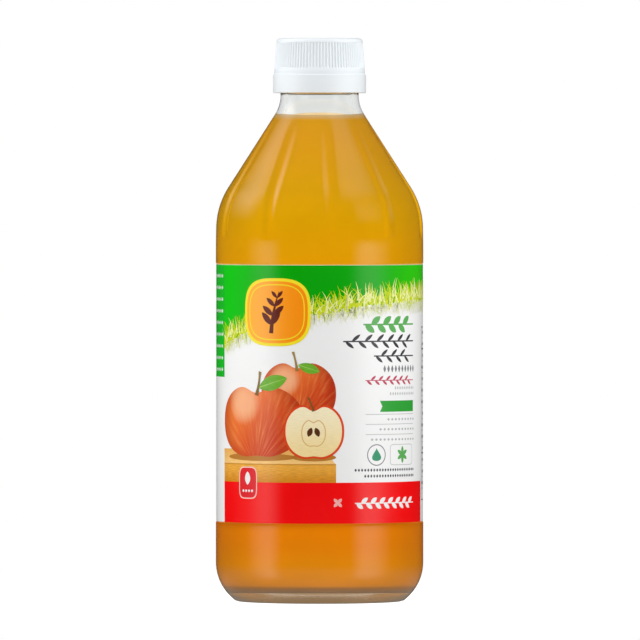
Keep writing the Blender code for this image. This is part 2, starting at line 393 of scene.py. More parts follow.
def flute_share(point):
    """How deep the flutes are at a point: a round end below and a slow fade above."""
    radius = math.hypot(point.x, point.y)
    if point.z < FLUTE_END or point.z > FLUTE_FADE_END or radius < NECK_RADIUS - WALL / 2:
        return 0.0
    if radius < radius_at(INNER_WALL, point.z) + WALL / 2:
        return 0.0
    pitch = 2 * math.pi / FLUTES
    turn = math.atan2(point.y, point.x) + math.pi / 2 - FLUTE_FROM_FRONT
    across = abs((turn + pitch / 2) % pitch - pitch / 2) * radius / FLUTE_HALF_WIDTH
    if across > 1:
        return 0.0
    along_end = min((point.z - FLUTE_END) / FLUTE_END_LENGTH, 1.0)
    below = math.sqrt(1 - (1 - along_end) ** 2)
    climb = smooth((point.z - FLUTE_DEEPEST) / (FLUTE_FADE_START - FLUTE_DEEPEST))
    fade = 1 - smooth((point.z - FLUTE_FADE_START) / (FLUTE_FADE_END - FLUTE_FADE_START))
    along = below * (1 - (1 - FLUTE_TOP_SHARE) * climb) * fade
    return along * (1 + math.cos(math.pi * across)) / 2


def knurl_share(point):
    """The bearing ring is sunk between its knurls, and stands on their crests."""
    radius = math.hypot(point.x, point.y)
    if point.z > MERGE or not BEARING_INNER + MERGE < radius < BEARING_OUTER - MERGE:
        return 0.0
    return 0.5 - 0.5 * math.cos(KNURLS * math.atan2(point.y, point.x))


def rib_share(point):
    """The grip is sunk between its ribs, in narrow grooves that run out at both ends."""
    radius = math.hypot(point.x, point.y)
    if not RIB_FOOT < point.z < RIB_TOP or radius < (CAP_BORE_RADIUS + CAP_TOP_RADIUS) / 2:
        return 0.0
    run_out = smooth((RIB_TOP - point.z) / RIB_RUN_OUT) * smooth((point.z - RIB_FOOT) / RIB_RUN_OUT)
    return run_out * (0.5 - 0.5 * math.cos(CAP_RIBS * math.atan2(point.y, point.x))) ** 1.5


INNER_WALL = vessel_inside(WALL)


# Materials. Colours are linear red, green and blue

def feed(tree, node, values):
    """Feeds a node's inputs: a socket is linked to its input, and a number or a colour is set there."""
    for key, value in values.items():
        socket = node.inputs[key]
        if isinstance(value, bpy.types.NodeSocket):
            tree.links.new(value, socket)
        elif value is not None:
            socket.default_value = (*value, 1.0) if socket.type == "RGBA" else value


def new_material(name, values):
    """A new material with its node tree and its Principled shader, whose inputs get the values."""
    material = bpy.data.materials.new(name)
    material.use_nodes = True
    tree = material.node_tree
    shader = tree.nodes["Principled BSDF"]
    feed(tree, shader, values)
    return material, tree, shader


def add_node(tree, kind, place, values=None, **settings):
    """Adds a node at a place in the editor, with its settings, and feeds its inputs."""
    node = tree.nodes.new(kind)
    node.location = place
    for key, value in settings.items():
        setattr(node, key, value)
    feed(tree, node, values or {})
    return node


def add_math(tree, operation, place, first, second=None, third=None):
    """A Math node whose inputs are sockets or numbers. Gives back its output."""
    values = {0: first, 1: second, 2: third}
    return add_node(tree, "ShaderNodeMath", place, values, operation=operation).outputs[0]


def add_square_sum(tree, place, across, above):
    """The squares of two values, added up. Gives back the output."""
    x, y = place
    left = add_math(tree, "MULTIPLY", (x - 150, y + 50), across, across)
    right = add_math(tree, "MULTIPLY", (x - 150, y - 100), above, above)
    return add_math(tree, "ADD", place, left, right)


def add_step(tree, place, value, start, end, low=0.0, high=1.0):
    """A smooth step of a value, from low at start to high at end. Gives back its output."""
    values = {"Value": value, "From Min": start, "From Max": end, "To Min": low, "To Max": high}
    return add_node(tree, "ShaderNodeMapRange", place, values, interpolation_type="SMOOTHSTEP").outputs[0]


def add_mix(tree, place, share, first, second, blend="MIX"):
    """Mixes two colours, each a socket or a colour, by a share. Gives back its output."""
    values = {0: share, 1: first, 2: second}
    return add_node(tree, "ShaderNodeMixRGB", place, values, blend_type=blend).outputs[0]


def add_noise(tree, place, vector, scale, detail, roughness=0.5):
    """Noise over the points that a vector gives. Gives back its output."""
    values = {"Vector": vector, "Scale": scale, "Detail": detail, "Roughness": roughness}
    return add_node(tree, "ShaderNodeTexNoise", place, values).outputs["Fac"]


def add_split(tree, place, vector):
    """The three parts of a vector, as the outputs X, Y and Z."""
    return add_node(tree, "ShaderNodeSeparateXYZ", place, {0: vector}).outputs


def add_relief(tree, place, shader, strength, distance, height):
    """Gives a shader a relief from the heights of a pattern."""
    values = {"Strength": strength, "Distance": distance, "Height": height}
    bump = add_node(tree, "ShaderNodeBump", place, values)
    feed(tree, shader, {"Normal": bump.outputs["Normal"]})


def object_point(tree, place):
    """Where a point is on its piece."""
    return add_node(tree, "ShaderNodeTexCoord", place).outputs["Object"]


def print_point(tree):
    """Where a point is on the flat print, in print units: the vector, and its parts across and above."""
    vector = add_node(tree, "ShaderNodeUVMap", (-1200, 0), uv_map="print").outputs[0]
    parts = add_split(tree, (-1000, 0), vector)
    return vector, parts["X"], parts["Y"]


def new_group(name, inputs, outputs):
    """A shader node group with named sockets, each a name and a socket type."""
    group = bpy.data.node_groups.new(name, "ShaderNodeTree")
    for socket_name, kind in inputs:
        group.interface.new_socket(name=socket_name, in_out="INPUT", socket_type="NodeSocket" + kind)
    for socket_name, kind in outputs:
        group.interface.new_socket(name=socket_name, in_out="OUTPUT", socket_type="NodeSocket" + kind)
    start = add_node(group, "NodeGroupInput", (-1200, -600))
    end = add_node(group, "NodeGroupOutput", (700, 0))
    return group, start.outputs, end


def grain_group():
    """Fine uneven tone and gloss, for ink, film and moulded plastic."""
    patch_scale, gloss_change = 60.0, 0.12
    inputs = [("Colour", "Color"), ("Grain Size", "Float"), ("Tone", "Float"), ("Gloss", "Float")]
    outputs = [("Colour", "Color"), ("Roughness", "Float"), ("Height", "Float")]
    group, start, end = new_group("surface_grain", inputs, outputs)
    point = object_point(group, (-1200, -300))
    fineness = add_math(group, "DIVIDE", (-1000, 0), 1.0, start["Grain Size"])
    grain = add_noise(group, (-800, -100), point, fineness, 3.0)
    patch = add_noise(group, (-800, -400), point, patch_scale, 1.0)
    both = add_math(group, "ADD", (-600, -200), grain, patch)
    uneven = add_math(group, "SUBTRACT", (-400, -200), both, 1.0)
    tone = add_math(group, "MULTIPLY_ADD", (-200, 0), uneven, start["Tone"], 1.0)
    shaded = add_mix(group, (0, 100), 1.0, start["Colour"], tone, "MULTIPLY")
    gloss = add_math(group, "MULTIPLY_ADD", (-200, -300), uneven, gloss_change, start["Gloss"])
    feed(group, end, {"Colour": shaded, "Roughness": gloss, "Height": grain})
    return group


def fruit_group():
    """Painted skin of a round fruit on the flat print: streaks, a lit side, a dark rim and a highlight.

    Its places are shares of the fruit's half width, counted from its middle.
    """
    dark_skin, lit_skin, streak_colour = (0.62, 0.045, 0.006), (0.88, 0.185, 0.030), (0.92, 0.34, 0.09)
    rim_colour, shine_colour = (0.38, 0.02, 0.004), (1.0, 0.62, 0.36)
    lit_from, lit_to = -0.9, 1.0
    pole, streak_count, streak_scale = 0.9, 9.0, 1.6
    blush_from, blush_to, blush_strength = 0.42, 0.85, 0.75
    rim_start, rim_end, rim_strength = 0.55, 1.05, 0.62
    shine_left, shine_above, shine_reach, shine_strength = 0.34, 0.36, 0.22, 0.6
    inputs = [("Centre X", "Float"), ("Centre Z", "Float"), ("Size", "Float")]
    group, start, end = new_group("painted_fruit", inputs, [("Colour", "Color")])
    _, print_x, print_z = print_point(group)
    from_x = add_math(group, "SUBTRACT", (-800, -100), print_x, start["Centre X"])
    from_z = add_math(group, "SUBTRACT", (-800, -300), print_z, start["Centre Z"])
    across = add_math(group, "DIVIDE", (-650, -100), from_x, start["Size"])
    above = add_math(group, "DIVIDE", (-650, -300), from_z, start["Size"])

    lit_line = add_math(group, "SUBTRACT", (-450, 0), above, across)
    lit = add_step(group, (-300, 0), lit_line, lit_from, lit_to)
    skin = add_mix(group, (100, 200), lit, dark_skin, lit_skin)

    above_pole = add_math(group, "ADD", (-600, 300), above, pole)
    meridian = add_math(group, "ARCTAN2", (-450, 250), across, above_pole)
    spread = add_math(group, "MULTIPLY", (-380, 250), meridian, streak_count)
    streak_point = add_node(group, "ShaderNodeCombineXYZ", (-300, 300), {"X": spread, "Y": above})
    streak = add_noise(group, (-150, 300), streak_point.outputs[0], streak_scale, 4.0, 0.6)
    blush = add_step(group, (0, 400), streak, blush_from, blush_to, 0.0, blush_strength)
    streaked = add_mix(group, (250, 200), blush, skin, streak_colour)

    away = add_math(group, "SQRT", (-150, -500), add_square_sum(group, (-300, -500), across, above))
    rim = add_step(group, (0, -300), away, rim_start, rim_end, 0.0, rim_strength)
    shaded = add_mix(group, (400, 100), rim, streaked, rim_colour)

    shine_x = add_math(group, "ADD", (-450, -750), across, shine_left)
    shine_z = add_math(group, "SUBTRACT", (-450, -900), above, shine_above)
    shine_square = add_square_sum(group, (-150, -800), shine_x, shine_z)
    shine = add_step(group, (0, -700), shine_square, shine_reach, 0.0, 0.0, shine_strength)
    feed(group, end, {"Colour": add_mix(group, (500, -100), shine, shaded, shine_colour)})
    return group


GRAIN = grain_group()
FRUIT = fruit_group()


def clear_glass():
    """Bottle glass with a faint waviness, and rippled at the base.

    Shadow rays pass through, so that the vinegar is lit.
    """
    tint, shadow_tint = (0.97, 0.985, 0.975), (0.95, 0.97, 0.96)
    wave_scale, ripple_scale, wave_height = 45.0, 170.0, 0.4 * MM
    ripple_top, ripple_full, ripple_share = 5.5 * MM, 3.5 * MM, 1.6
    values = {"Base Color": tint, "Roughness": 0.015, "IOR": 1.5, "Transmission Weight": 1.0}
    material, tree, shader = new_material("clear_bottle_glass", values)
    point = object_point(tree, (-1100, -400))
    wave = add_noise(tree, (-900, -200), point, wave_scale, 2.0)
    rough = add_noise(tree, (-900, -500), point, ripple_scale, 3.0)
    above_table = add_split(tree, (-900, -700), point)["Z"]
    low = add_step(tree, (-700, -700), above_table, ripple_top, ripple_full, 0.0, ripple_share)
    ripple = add_math(tree, "MULTIPLY", (-600, -500), rough, low)
    height = add_math(tree, "ADD", (-500, -350), wave, ripple)
    add_relief(tree, (-300, -200), shader, 0.25, wave_height, height)
    path = add_node(tree, "ShaderNodeLightPath", (0, 500)).outputs
    clear = add_node(tree, "ShaderNodeBsdfTransparent", (0, -500), {"Color": shadow_tint})
    values = {0: path["Is Shadow Ray"], 1: shader.outputs[0], 2: clear.outputs[0]}
    mix = add_node(tree, "ShaderNodeMixShader", (400, 200), values)
    feed(tree, tree.nodes["Material Output"], {"Surface": mix.outputs[0]})
    return material


def fill_colours_painted_light(tree, height):
    """The vinegar's colours by height, with painted light and shade in them: a brown painted shade and a
    paler beige band at the base, redder above it up to the label, where less light passes, and paler to
    the fill line.
    """
    stops = [
        (0.020, (0.52, 0.340, 0.190)),
        (0.027, (0.70, 0.470, 0.290)),
        (0.034, (0.85, 0.320, 0.018)),
        (0.08, (0.82, 0.300, 0.003)),
        (0.12, (0.83, 0.265, 0.001)),
        (0.16, (0.90, 0.275, 0.000)),
        (0.64, (0.88, 0.380, 0.000)),
        (0.71, (0.81, 0.396, 0.000)),
        (0.79, (0.73, 0.394, 0.000)),
        (0.86, (0.74, 0.398, 0.005)),
        (0.96, (0.76, 0.378, 0.014)),
    ]
    values = {"Value": height, "From Min": 0.0, "From Max": FILL_HEIGHT}
    share = add_node(tree, "ShaderNodeMapRange", (-900, 0), values)
    ramp = add_node(tree, "ShaderNodeValToRGB", (-700, 0), {0: share.outputs[0]})
    elements = ramp.color_ramp.elements
    for element, (position, colour) in zip(elements, (stops[0], stops[-1])):
        element.position = position
        element.color = (*colour, 1)
    for position, colour in stops[1:-1]:
        elements.new(position).color = (*colour, 1)
    return ramp.outputs["Color"]


def cloudy_vinegar():
    """Golden amber with faint clouds. It glows with its own colour as painted light, and has a painted
    highlight at the fill line, painted shade on its underside, and a painted tone that dims it where it
    faces the camera and brightens it towards its outline.

    Its wall is matt. Its floor is smooth, so that the thick glass of the base mirrors in it.
    """
    # Colours of a painted highlight, the pale band at the fill line, and of painted shade, brown where the
    # vinegar faces down.
    rim_colour, underside_painted_shade = (0.69, 0.54, 0.32), (0.25, 0.15, 0.06)
    meniscus_highlight_foot, meniscus_highlight_top = FILL_HEIGHT - 1.7 * MM, FILL_HEIGHT + 2 * MENISCUS_HEIGHT
    floor_top = FLOOR_EDGE_HEIGHT + FLOOR_CORNER
    cloud_scale = 28.0
    # Painted light: the vinegar glows with its own shaded colour, in place of light scattered through it.
    values = {"Emission Strength": 0.40, "Specular IOR Level": 0.3}
    material, tree, shader = new_material("cloudy_amber_vinegar", values)
    point = object_point(tree, (-1300, 0))
    normal = add_node(tree, "ShaderNodeTexCoord", (-1300, 300)).outputs["Normal"]
    height = add_split(tree, (-1100, 0), point)["Z"]
    upward = add_split(tree, (-1100, 300), normal)["Z"]
    # Where the painted highlight at the fill line lies.
    rim = add_step(tree, (-600, 250), height, meniscus_highlight_foot, meniscus_highlight_top)
    colour = add_mix(tree, (-400, 150), rim, fill_colours_painted_light(tree, height), rim_colour)
    # Painted shade where the vinegar faces down.
    underside = add_step(tree, (-600, 400), upward, -0.40, -0.85)
    colour = add_mix(tree, (-300, 300), underside, colour, underside_painted_shade)

    cloud = add_noise(tree, (-900, -350), point, cloud_scale, 3.0)
    clouds = add_step(tree, (-700, -350), cloud, 0.2, 0.8, 0.94, 1.06)
    # Painted shade and light by the viewing angle: the colour is dimmed over the front and brightened
    # towards the outline.
    facing = add_node(tree, "ShaderNodeLayerWeight", (-900, -600), {"Blend": 0.5}).outputs["Facing"]
    middle_painted_shade = add_step(tree, (-700, -600), facing, 0.02, 0.22, 0.80, 0.635)
    edge_painted_light = add_step(tree, (-700, -750), facing, 0.28, 0.85, 1.0, 3.0)
    # The painted shade and the painted light together.
    depth = add_math(tree, "MULTIPLY", (-500, -600), middle_painted_shade, edge_painted_light)
    tone = add_math(tree, "MULTIPLY", (-350, -450), depth, clouds)
    shade = add_mix(tree, (-200, 0), 1.0, colour, tone, "MULTIPLY")
    matt = add_step(tree, (-400, -350), height, floor_top - MM, floor_top + MM, 0.12, 0.9)
    feed(tree, shader, {"Base Color": shade, "Emission Color": shade, "Roughness": matt})
    return material


def add_grain(tree, shader, colour, grain_size, tone, gloss):
    """Gives a shader its colour and gloss with an uneven grain. Gives back the grain's height."""
    values = {"Colour": colour, "Grain Size": grain_size, "Tone": tone, "Gloss": gloss}
    grain = add_node(tree, "ShaderNodeGroup", (-200, 0), values, node_tree=GRAIN).outputs
    feed(tree, shader, {"Base Color": grain["Colour"], "Roughness": grain["Roughness"]})
    return grain["Height"]


def white_film():
    """The label's satin film, faintly dimpled."""
    material, tree, shader = new_material("white_film", {})
    height = add_grain(tree, shader, (0.90, 0.90, 0.895), 0.8 * MM, 0.02, 0.2)
    add_relief(tree, (0, -300), shader, 0.3, 0.03 * MM, height)
    return material


def white_plastic():
    """Satin moulded polypropylene."""
    material, tree, shader = new_material("satin_white_plastic", {})
    height = add_grain(tree, shader, (0.81, 0.855, 0.885), 0.3 * MM, 0.02, 0.36)
    add_relief(tree, (0, -300), shader, 0.3, 0.02 * MM, height)
    return material


def ink(name, colour):
    """One flat ink on the film."""
    material, tree, shader = new_material(name, INK_FINISH)
    add_grain(tree, shader, colour, INK_GRAIN, INK_TONE, INK_FINISH["Roughness"])
    return material


def green_ink():
    """The green of the field, with painted light: darker in the middle of the front and brighter round the
    sides, where the side lights fall.
    """
    # Painted shade in the middle of the front, painted light towards the sides.
    middle, left_side, right_side = (0.000, 0.38, 0.000), (0.005, 0.56, 0.006), (0.030, 0.57, 0.003)
    left_span, right_span = (-1.2, -4.0), (1.4, 4.6)
    material, tree, shader = new_material("green_ink", INK_FINISH)
    across = print_point(tree)[1]
    to_left = add_step(tree, (-700, 100), across, *left_span)
    to_right = add_step(tree, (-700, -100), across, *right_span)
    colour = add_mix(tree, (-500, 100), to_left, middle, left_side)
    colour = add_mix(tree, (-350, 0), to_right, colour, right_side)
    add_grain(tree, shader, colour, INK_GRAIN, INK_TONE, INK_FINISH["Roughness"])
    return material


def blended_ink(name, span, colours, streak=0.0, lying=False):
    """An ink that runs from one colour to another over a span of the print, streaked or plain."""
    material, tree, shader = new_material(name, INK_FINISH)
    vector, across, above = print_point(tree)
    start, end = (place / PRINT_UNIT for place in span)
    share = add_step(tree, (-700, 0), across if lying else above, start, end)
    colour = add_mix(tree, (-400, 0), share, *colours)
    if streak:
        values = {"Vector": vector, "Scale": STREAK_FINENESS}
        stretch = add_node(tree, "ShaderNodeMapping", (-900, -300), values)
        noise = add_noise(tree, (-700, -300), stretch.outputs[0], 1.0, 4.0)
        tone = add_step(tree, (-500, -300), noise, 0.3, 0.7, 1 - streak, 1 + streak)
        colour = add_mix(tree, (-200, 0), 1.0, colour, tone, "MULTIPLY")
    feed(tree, shader, {"Base Color": colour})
    return material


def painted_skin(name, centre, half_width):
    """The fruit's painted skin, for a fruit at a place on the flat print."""
    material, tree, shader = new_material(name, INK_FINISH)
    x, z = centre
    values = {"Centre X": x / PRINT_UNIT, "Centre Z": z / PRINT_UNIT, "Size": half_width / PRINT_UNIT}
    fruit = add_node(tree, "ShaderNodeGroup", (-500, 0), values, node_tree=FRUIT)
    feed(tree, shader, {"Base Color": fruit.outputs[0]})
    return material


# Flat print

def face_out(piece):
    """Turns a new flat primitive upright, so that it faces -Y."""
    piece.rotation_euler = (math.pi / 2, 0, 0)
    bpy.ops.object.transform_apply(location=True, rotation=True, scale=True)
    return piece


def field(name, left, right, foot, top, columns=1, rows=1):
    """A flat upright rectangle of film or ink."""
    deselect()
    bpy.ops.mesh.primitive_grid_add(x_subdivisions=columns, y_subdivisions=rows, size=1, calc_uvs=False)
    piece = face_out(take(name))
    bpy.ops.transform.resize(value=(right - left, 1, top - foot))
    bpy.ops.transform.translate(value=((left + right) / 2, 0, (foot + top) / 2))
    bpy.ops.object.transform_apply(location=True, rotation=True, scale=True)
    return piece


def cut_out(name, rule, points=32):
    """A flat shape, from a circle whose points go where the rule puts each angle."""
    deselect()
    bpy.ops.mesh.primitive_circle_add(vertices=points, radius=1, fill_type="NGON", calc_uvs=False)
    piece = face_out(take(name))
    for vertex in piece.data.vertices:
        across, above = rule(math.atan2(vertex.co.z, vertex.co.x))
        vertex.co = (across, 0, above)
    return piece


def power(value, exponent):
    """A power that keeps the sign."""
    return math.copysign(abs(value) ** exponent, value)


def oval(width, height, squareness=2.0):
    """An oval, or with more squareness a rounded rectangle."""
    share = 2 / squareness
    return lambda a: (width / 2 * power(math.cos(a), share), height / 2 * power(math.sin(a), share))


def leaf(length, width):
    """A leaf with two pointed ends, along X from its foot."""
    sharpness = 1.7
    return lambda a: (length / 2 * (1 + math.cos(a)), width / 2 * power(math.sin(a), sharpness))


def apple(width, height):
    """An apple from the side, with a deep dent at the stem and a small one at the foot."""
    def rule(angle):
        across = power(math.cos(angle), 0.86)
        above = power(math.sin(angle), 0.92)
        depth, reach = (0.24, 0.25) if above > 0 else (-0.07, 0.22)
        dent = depth * math.exp(-(across / reach) ** 2)
        return width / 2 * across, height / 2 * (above - dent)
    return rule


def drop(width, height):
    """A drop that stands on its round end."""
    widest = 1.3
    return lambda a: (width / 2 * math.cos(a) * (1 - math.sin(a)) / widest, height / 2 * math.sin(a))


def put(piece, place, turn=0.0, size=1.0):
    """Places a flat piece, turned counterclockwise as seen from the front."""
    pick(piece)
    piece.location = (place[0], 0, place[1])
    piece.rotation_euler = (0, -turn, 0)
    piece.scale = (size, 1, size)
    bpy.ops.object.transform_apply(location=True, rotation=True, scale=True)
    return piece


def stamp(model, places):
    """Copies of a flat piece, each with its own mesh, at places of (across, height, turn, size)."""
    copies = []
    for across, height, turn, size in places:
        piece = model.copy()
        piece.data = model.data.copy()
        bpy.context.collection.objects.link(piece)
        piece.location = (across, 0, height)
        piece.rotation_euler = (0, -turn, 0)
        piece.scale = (size, 1, size)
        copies.append(piece)
    bpy.data.objects.remove(model)
    return copies


def joined(name, parts):
    """Joins flat parts into one piece."""
    deselect()
    for part in parts:
        part.select_set(True)
    bpy.context.view_layer.objects.active = parts[0]
    if len(parts) > 1:
        bpy.ops.object.join()
    piece = take(name)
    bpy.ops.object.transform_apply(location=True, rotation=True, scale=True)
    return piece


def hollow(piece, line):
    """Leaves only an outline of a flat shape, as wide as line."""
    pick(piece)
    bpy.ops.object.mode_set(mode="EDIT")
    bpy.ops.mesh.select_all(action="SELECT")
    bpy.ops.mesh.inset(thickness=line, use_even_offset=True)
    bpy.ops.mesh.delete(type="FACE")
    bpy.ops.object.mode_set(mode="OBJECT")
    return piece


def score(piece):
    """Cuts a flat piece into narrow columns, which bend round the bottle."""
    pick(piece)
    across = [vertex.co.x for vertex in piece.data.vertices]
    first, last = math.ceil(min(across) / SCORE_GAP), math.floor(max(across) / SCORE_GAP)
    bpy.ops.object.mode_set(mode="EDIT")
    for column in range(first, last + 1):
        bpy.ops.mesh.select_all(action="SELECT")
        bpy.ops.mesh.bisect(plane_co=(column * SCORE_GAP, 0, 0), plane_no=(1, 0, 0))
    bpy.ops.object.mode_set(mode="OBJECT")


def map_print(piece):
    """Gives a flat piece a UV map of its place on the print, in print units."""
    layer = piece.data.uv_layers.new(name="print")
    for loop in piece.data.loops:
        point = piece.data.vertices[loop.vertex_index].co
        layer.data[loop.index].uv = (point.x / PRINT_UNIT, point.z / PRINT_UNIT)


def thicken(piece, thickness):
    """Gives a flat piece its thickness, on the side that faces the glass."""
    pick(piece)
    bpy.ops.object.modifier_add(type="SOLIDIFY")
    modifier = piece.modifiers[-1]
    modifier.thickness = thickness
    modifier.offset = -1.0
    bpy.ops.object.modifier_apply(modifier=modifier.name)


def wrap(piece):
    """Bends a flat piece round the bottle. Its own middle is where it was, and its front faces out."""
    pick(piece)
    across = [vertex.co.x for vertex in piece.data.vertices]
    bpy.ops.object.modifier_add(type="SIMPLE_DEFORM")
    modifier = piece.modifiers[-1]
    modifier.deform_method = "BEND"
    modifier.deform_axis = "Z"
    modifier.angle = (max(across) - min(across)) / PRINT_RADIUS
    bpy.ops.object.modifier_apply(modifier=modifier.name)
    bpy.ops.transform.translate(value=(0, -PRINT_RADIUS, 0))
    bpy.ops.object.transform_apply(location=True, rotation=False, scale=False)


def lay_on(piece, layer, material, thickness=INK_THICKNESS):
    """Finishes a flat piece of print: its layer, columns, thickness, bend and ink."""
    pick(piece)
    bpy.ops.transform.translate(value=(0, -layer * LAYER, 0))
    bpy.ops.object.transform_apply(location=True, rotation=False, scale=False)
    score(piece)
    map_print(piece)
    thicken(piece, thickness)
    wrap(piece)
    bpy.ops.object.shade_smooth_by_angle(angle=math.radians(30))
    piece.data.materials.append(material)
    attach(piece, "root")
    return piece


def fringe_height(across):
    """Height of the grass line, which rises to the right and then runs level round the back."""
    middle, rise, droop, level_from = 97.6, 0.185, 0.0021, 46.0
    u = min(across / MM, level_from)
    return (middle + rise * u - droop * u * u) * MM


def grass_blade(name, bend, width=0.05):
    """One blade of grass, 1 unit tall, that narrows and leans towards its tip."""
    taper, tip = 0.8, 0.006
    blade = field(name, -0.5, 0.5, 0, 1, 1, 4)
    for vertex in blade.data.vertices:
        t = vertex.co.z
        half = width * (1 - t) ** taper + tip
        vertex.co = (math.copysign(half, vertex.co.x) + bend * t * t, 0, t)
    return blade


def stalk(name, bend):
    """A fruit's stalk, 1 unit tall, thin in the middle and with a knob at its tip."""
    thin, flare, knob, knob_from = 0.045, 0.05, 0.10, 0.72
    piece = field(name, -0.5, 0.5, 0, 1, 1, 8)
    for vertex in piece.data.vertices:
        t = vertex.co.z
        half = thin + knob * max(t - knob_from, 0) + flare * (1 - t) ** 3
        vertex.co = (math.copysign(half, vertex.co.x) + bend * t * t, 0, t)
    return piece


def grass(name, count, lengths, rise, layer, material, draw, downwards=False):
    """A row of blades along the grass line, from the left edge of the front panel to the back.

    Lengths are the shortest and the longest blade, and rise is how far above the line the blades
    have their feet and how much that spreads.
    """
    offset, spread = rise
    lean, bends = 0.42, (-0.35, 0.05, 0.4)
    parts = []
    for bend in bends:
        places = []
        for _ in range(count // 3):
            across = draw.uniform(PANEL_LEFT + 1.0 * MM, LAP_START - 1.5 * MM)
            height = fringe_height(across) + offset + draw.uniform(-spread, spread)
            turn = draw.gauss(0.0, lean) + (math.pi if downwards else 0.0)
            places.append((across, height, turn, draw.uniform(*lengths)))
        parts += stamp(grass_blade(name, bend), places)
    return lay_on(joined(name, parts), layer, material)


def build_film():
    """The film, with a lap where its two ends meet at the back."""
    white = white_film()
    film = field("label_wrap", -BACK, BACK, LABEL_FOOT, LABEL_TOP)
    lay_on(film, 0, white, FILM_THICKNESS)
    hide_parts("label")
    lap = field("label_lap", LAP_START, BACK, LABEL_FOOT, LABEL_TOP)
    lay_on(lap, 2, white)


def build_fields():
    """The large fields of colour: green above the grass line, a deeper side panel and the red foot."""
    side_green = ink("side_green_ink", (0.008, 0.48, 0.02))
    sky = field("label_green_field", PANEL_LEFT, LAP_START, 0, FIELD_TOP, 150, 1)
    for vertex in sky.data.vertices:
        if vertex.co.z < MM:
            vertex.co.z = fringe_height(vertex.co.x)
    lay_on(sky, 1, green_ink())
    strip_foot = fringe_height(BACK)
    strips = [
        ("label_left_panel", -SIDE_PANEL, PANEL_LEFT, LEFT_PANEL_FOOT, 1),
        ("label_back_strip", -BACK, -SIDE_PANEL, strip_foot, 1),
        ("label_lap_strip", LAP_START, BACK, strip_foot, 3),
    ]
    for name, left, right, foot, layer in strips:
        lay_on(field(name, left, right, foot, FIELD_TOP), layer, side_green)
    foot = field("label_red_band", PANEL_LEFT, PANEL_RIGHT, LABEL_FOOT, RED_TOP)
    lay_on(foot, 1, ink("red_ink", (0.94, 0.000, 0.001)))


def build_grass():
    """A lime verge that frays into white below, under thin blades that cross each other."""
    draw = random.Random(17)
    verge = field("label_grass_verge", PANEL_LEFT, LAP_START, 0, 1, 540, 2)
    row_heights = mm(-2.6, -0.3, 1.3)
    for vertex in verge.data.vertices:
        offset = row_heights[round(vertex.co.z * 2)] + draw.uniform(-1.0, 1.0) * MM
        vertex.co.z = fringe_height(vertex.co.x) + offset
    lay_on(verge, 2, ink("verge_ink", (0.66, 0.70, 0.015)))
    lime, pale = ink("blade_lime", (0.58, 0.72, 0.01)), ink("blade_pale", (0.86, 0.87, 0.66))
    straw, green = ink("blade_straw", (0.88, 0.90, 0.36)), ink("blade_green", (0.22, 0.44, 0.01))
    grass("label_roots_pale", 741, mm(2.5, 4.5), mm(-1.2, 0.8), 3, pale, draw, downwards=True)
    grass("label_roots_lime", 303, mm(2.5, 4.5), mm(-0.2, 0.8), 3, lime, draw, downwards=True)
    grass("label_blades_green", 270, mm(2.5, 5.0), mm(0.0, 1.2), 4, green, draw)
    grass("label_blades_lime", 405, mm(3.0, 6.0), mm(0.4, 1.2), 5, lime, draw)
    grass("label_blades_straw", 237, mm(3.0, 6.2), mm(0.0, 1.4), 6, straw, draw)


def build_plaque():
    """A rounded amber plaque with a yellow rim and a plain sprig of leaves."""
    centre, squareness = mm(-15.2, 97.1), 3.0
    yellow, maroon = ink("rim_yellow", (0.93, 0.76, 0.02)), ink("maroon_ink", (0.12, 0.012, 0.004))
    amber = blended_ink("plaque_amber", mm(-25, -5), ((1.0, 0.42, 0.035), (0.98, 0.28, 0.0)), lying=True)
    rim = cut_out("label_plaque_rim", oval(*mm(24.6, 22.6), squareness), 96)
    lay_on(put(rim, centre), 7, yellow)
    plaque = cut_out("label_plaque", oval(*mm(22.6, 20.6), squareness), 96)
    lay_on(put(plaque, centre), 8, amber)
    line = hollow(cut_out("label_plaque_line", oval(*mm(20.6, 18.6), squareness), 96), 0.35 * MM)
    lay_on(put(line, centre), 9, yellow)

    height, bend, lean = 14 * MM, 0.16, 0.05
    foot_x, foot_z = centre[0] - 1.5 * MM, centre[1] - height / 2
    stem = put(grass_blade("stem", bend), (foot_x, foot_z), -lean, height)
    pairs = [
        (0.20, 1.00, 2.30, 0.62),
        (0.42, 0.70, 2.45, 0.56),
        (0.64, 0.75, 2.40, 0.46),
        (0.84, 0.85, 2.30, 0.34),
    ]
    places = []
    for share, right_turn, left_turn, size in pairs:
        across = foot_x + height * (bend * share * share + lean * share)
        places += [(across, foot_z + height * share, turn, size) for turn in (right_turn, left_turn)]
    leaves = stamp(cut_out("sprig_leaf", leaf(*mm(9, 3.4)), 24), places)
    lay_on(joined("label_sprig", [stem] + leaves), 9, maroon)


def build_board():
    """A wooden board with a lit top, a grained front and soft shadows under the fruit."""
    right, slant, edge_line = 5.5 * MM, 4 * MM, 0.2 * MM
    back_edge, front_edge = 51.5 * MM, 46.5 * MM
    wood = blended_ink("board_front", mm(40, 46), ((0.66, 0.25, 0.012), (0.84, 0.40, 0.05)), 0.16)
    lay_on(field("label_board", PANEL_LEFT, right, RED_TOP, front_edge), 1, wood)
    top = field("label_board_top", PANEL_LEFT, right, front_edge, back_edge)
    for vertex in top.data.vertices:
        if vertex.co.z > (front_edge + back_edge) / 2 and vertex.co.x > 0:
            vertex.co.x -= slant
    lit = blended_ink("board_top", mm(46, 51.5), ((0.94, 0.60, 0.21), (0.84, 0.44, 0.11)), 0.10)
    lay_on(top, 1, lit)
    edge = field("label_board_edge", PANEL_LEFT, right, front_edge - edge_line, front_edge + edge_line)
    lay_on(edge, 2, ink("board_edge_ink", (0.62, 0.27, 0.03)))
    shade = ink("board_shade", (0.50, 0.20, 0.03))
    for name, middle, width in (("label_shade_front", -22.0, 29), ("label_shade_half", -2.0, 15)):
        lay_on(put(cut_out(name, oval(*mm(width, 2.6)), 48), mm(middle, 48.9)), 2, shade)


